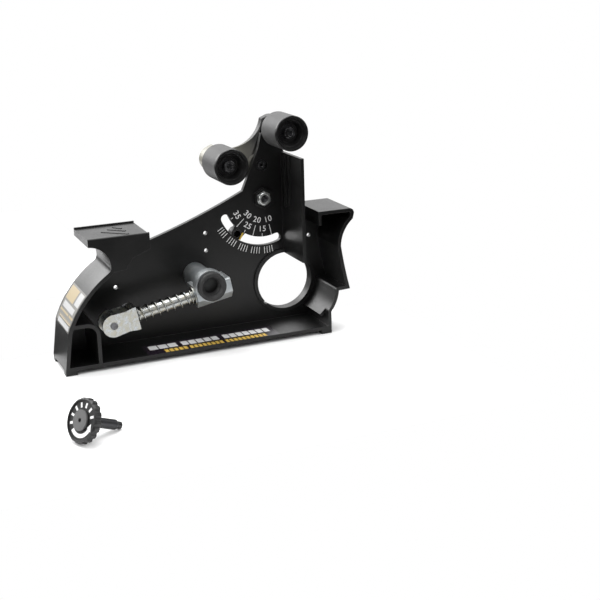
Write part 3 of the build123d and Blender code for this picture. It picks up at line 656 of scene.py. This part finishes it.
def rest_ribs(material):
    """Slanted grip ribs on the left rest."""
    form = bmesh.new()
    for start, end in REST_RIBS:
        bar(form, Vector((start[0] * MM, start[1] * MM, REST_TOP_Z)),
            Vector((end[0] * MM, end[1] * MM, REST_TOP_Z)), RIB_W, Vector((0, 0, RIB_H)))
    piece("rest_ribs", form, material, "frame")


KNOB_R = 13.5 * MM
DOG_R = 2.3 * MM
KNOB_REACH = 25.35 * MM
KNOB_HALF = 2.2 * MM
KNOB_RECESS = 0.8 * MM
KNOB_HEADING = math.radians(21.9)
KNOB_RIM = (-189.0 * MM, -146.7 * MM)
ARROW_R = (7.8 * MM, 10.2 * MM)
ARROW_HEAD_R = (6.9 * MM, 11.1 * MM)
ARROW_ANGLES = (-132.0, -24.0, 2.0)
ARROW_STEPS = 18
DASH_R = (7.6 * MM, 10.6 * MM)
DASH_W = 1.5 * MM
DASH_ANGLES = [202.0 - 29.3 * k for k in range(7)]


def knob_print(material):
    """Turning arrow and a ring of dashes, printed on the knob's sunk face."""
    dip = math.atan((KNOB_R - DOG_R) / KNOB_REACH)
    inward = Vector((math.cos(dip) * math.cos(KNOB_HEADING), math.cos(dip) * math.sin(KNOB_HEADING),
                     -math.sin(dip)))
    middle = Vector((*KNOB_RIM, TABLE_Z + KNOB_R * math.cos(dip) + KNOB_HALF * math.sin(dip)))
    face = middle - inward * (KNOB_HALF - KNOB_RECESS)
    up = (Vector((0, 0, 1)) - inward * inward.z).normalized()
    right = inward.cross(up)
    rise = -inward * INK

    def at(radius, degrees):
        turn = math.radians(degrees)
        return face + right * (radius * math.cos(turn)) + up * (radius * math.sin(turn))

    form = bmesh.new()
    tail, neck, tip = ARROW_ANGLES
    for i in range(ARROW_STEPS):
        a = tail + (neck - tail) * i / ARROW_STEPS
        b = tail + (neck - tail) * (i + 1) / ARROW_STEPS
        plate(form, [at(ARROW_R[0], a), at(ARROW_R[1], a), at(ARROW_R[1], b), at(ARROW_R[0], b)], rise)
    plate(form, [at(ARROW_HEAD_R[0], neck), at(ARROW_HEAD_R[1], neck), at(sum(ARROW_R) / 2, tip)], rise)
    for degrees in DASH_ANGLES:
        bar(form, at(DASH_R[0], degrees), at(DASH_R[1], degrees), DASH_W, rise)
    piece("knob_print", form, material, "knob")


# ---- put it together -----------------------------------------------------------------------
def dress_nodes():
    """Give every CAD node its finish."""
    tray = moulded_plastic("tray_black")
    # the bracket's warm grey about the lower roller's axis is a painted reflection
    bracket = casting_painted_reflection("bracket_black_painted_reflection", ROLLER_AT)
    knob = moulded_plastic("knob_black", dark=0.006, light=0.012, rough=0.40, grain=0.25 * MM,
                           depth=0.012 * MM, edge=0.25 * MM, specular=0.5)
    cap = moulded_plastic("knob_cap_grey", dark=0.07, light=0.12, rough=0.42, grain=0.25 * MM,
                          depth=0.012 * MM, edge=0.2 * MM, specular=0.5)
    plated = plated_steel("zinc_plate")
    dark = dark_steel("dark_steel")
    bright = plated_steel("bright_zinc", (0.72, 0.74, 0.75, 1), (0.66, 0.66, 0.62, 1), 0.3, 1.5 * MM)
    stud = dark_steel("stud_black", (0.05, 0.05, 0.055, 1), 0.30)
    looks = {
        "housing": tray, "angle_lever": tray, "head_bracket": bracket,
        "lock_insert": stud,
        "angle_pointer": coloured_plastic("pointer_yellow", (0.72, 0.47, 0.05, 1), (0.85, 0.6, 0.1, 1)),
        "lever_bolt": dark, "lever_nut": bright, "lever_washer": plated, "head_pin": dark,
        "head_pin_clip": stud, "lower_roller_bearings": stud, "upper_roller_bearings": stud,
        "lower_roller_axle": plated, "upper_roller_axle": plated, "lower_axle_screw": dark,
        "upper_axle_screw": dark, "tension_block": cast_zinc("cast_zinc"),
        "block_bush": rubber("bush_rubber"),
        "block_screw": dark, "tension_rod": plated, "rod_screw": dark, "yoke": plated, "yoke_pin": dark,
        "spring_washer": plated, "tension_spring": plated, "knob_grip": knob, "knob_cap": cap,
        "knob_stud": stud,
    }
    for name in ("lower", "upper"):
        low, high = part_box(f"{name}_roller")
        centre = (low + high) / 2
        radius = (high.x - low.x) / 2
        looks[f"{name}_roller"] = ground_band(f"{name}_roller_band", centre, radius, low.y)
    for name, material in looks.items():
        mesh = frame["nodes"][name].data
        mesh.materials.clear()
        mesh.materials.append(material)


# level sheets on the table plane: x from and to, y from and to
FLOOR = ((-0.25, 0.09), (-0.21, 0.015))
BOUNCE_CARD = ((-0.60, -0.08), (0.16, 0.50))


def level_sheet(name, sides, material):
    """A sheet that isn't part of the object. Past its edges the backdrop is as white to the eye."""
    (left, right), (near, far) = sides
    form = bmesh.new()
    form.faces.new([form.verts.new((x, y, TABLE_Z)) for x, y in
                    ((left, near), (right, near), (right, far), (left, far))])
    mesh = bpy.data.meshes.new(name)
    form.to_mesh(mesh)
    form.free()
    mesh.materials.append(material)
    sheet = bpy.data.objects.new(name, mesh)
    bpy.context.scene.collection.objects.link(sheet)


def make_floor():
    pale = pale_floor("pale_floor")
    level_sheet("floor", FLOOR, pale)
    level_sheet("bounce_card", BOUNCE_CARD, pale)


make_camera()
make_lights()
make_world()
make_floor()
dress_nodes()
white = print_ink("print_white", grey(0.72), grey(0.84))
gold = print_ink("label_gold", (0.62, 0.40, 0.06, 1), (0.78, 0.53, 0.12, 1))
scale_ticks(white)
scale_numbers(white)
coil_spring(plated_steel("spring_zinc", rough=0.2, grain=2 * MM))
tray_film = coloured_plastic("label_film", (0.010, 0.006, 0.011, 1), (0.016, 0.010, 0.018, 1), 0.3)
tray_label(tray_film, white, gold)
flank_label(print_ink("flank_film", (0.13, 0.125, 0.115, 1), (0.19, 0.185, 0.17, 1)),
            print_ink("flank_white", grey(0.36), grey(0.46)),
            print_ink("flank_gold", (0.30, 0.235, 0.13, 1), (0.40, 0.32, 0.19, 1)))
rest_ribs(frame["nodes"]["housing"].data.materials[0])
knob_print(white)
